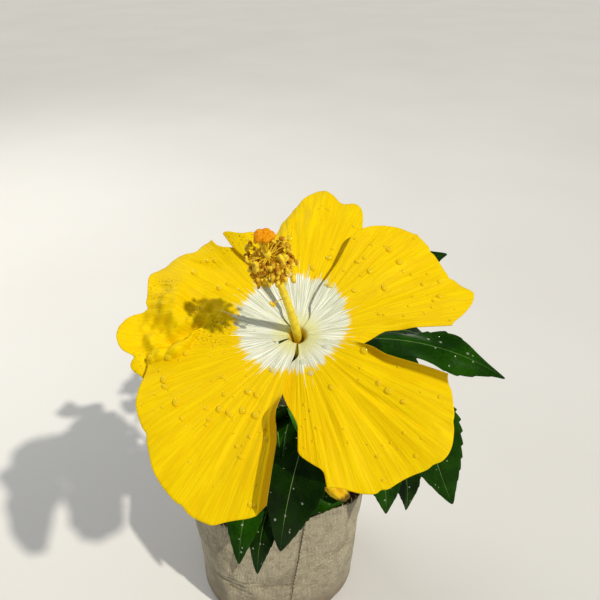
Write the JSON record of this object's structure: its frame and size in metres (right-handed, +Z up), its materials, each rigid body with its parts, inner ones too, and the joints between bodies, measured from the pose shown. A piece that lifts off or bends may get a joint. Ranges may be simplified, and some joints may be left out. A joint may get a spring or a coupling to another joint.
{
  "type": "potted hibiscus shrub",
  "caption": "Young potted hibiscus shrub: woody trunk, boughs with leafy shoots, a large yellow bloom leaning over the front, and a woven grow bag of soil.",
  "frame": {"origin": "middle of the bag's flat underside, where the pot stands on the ground", "axes": "+Z up, -Y to the front, where the bloom leans out and faces, +X to the right as seen from the front"},
  "size_m": [0.2118, 0.3008, 0.3881],
  "materials": {
    "woven_bag": "coarse woven tape, matte, dusty",
    "soil": "moist crumbly earth",
    "bark": "thin greyish-brown bark",
    "foliage": "glossy waxy leaf",
    "green_stalk": "smooth green stalk",
    "calyx": "smooth green, slightly downy",
    "stamens": "soft, dusted with pollen",
    "spent_petals": "wilted, matte",
    "petals": "satin, finely veined"
  },
  "bodies": {
    "root": {"grow_bag": "woven_bag", "soil": "soil", "trunk": "bark", "bough_front": "bark", "bough_left": "bark", "bough_right": "bark", "bough_back": "bark", "bough_top": "bark", "foliage_front": "foliage", "foliage_left": "foliage", "foliage_right": "foliage", "foliage_back": "foliage", "foliage_top": "foliage", "flower_stalk": "green_stalk", "calyx": "calyx", "staminal_column": "stamens", "spent_bloom": "spent_petals", "petal_top": "petals", "petal_left": "petals", "petal_lower_left": "petals", "petal_lower_right": "petals", "petal_right": "petals"}
  },
  "joints": []
}
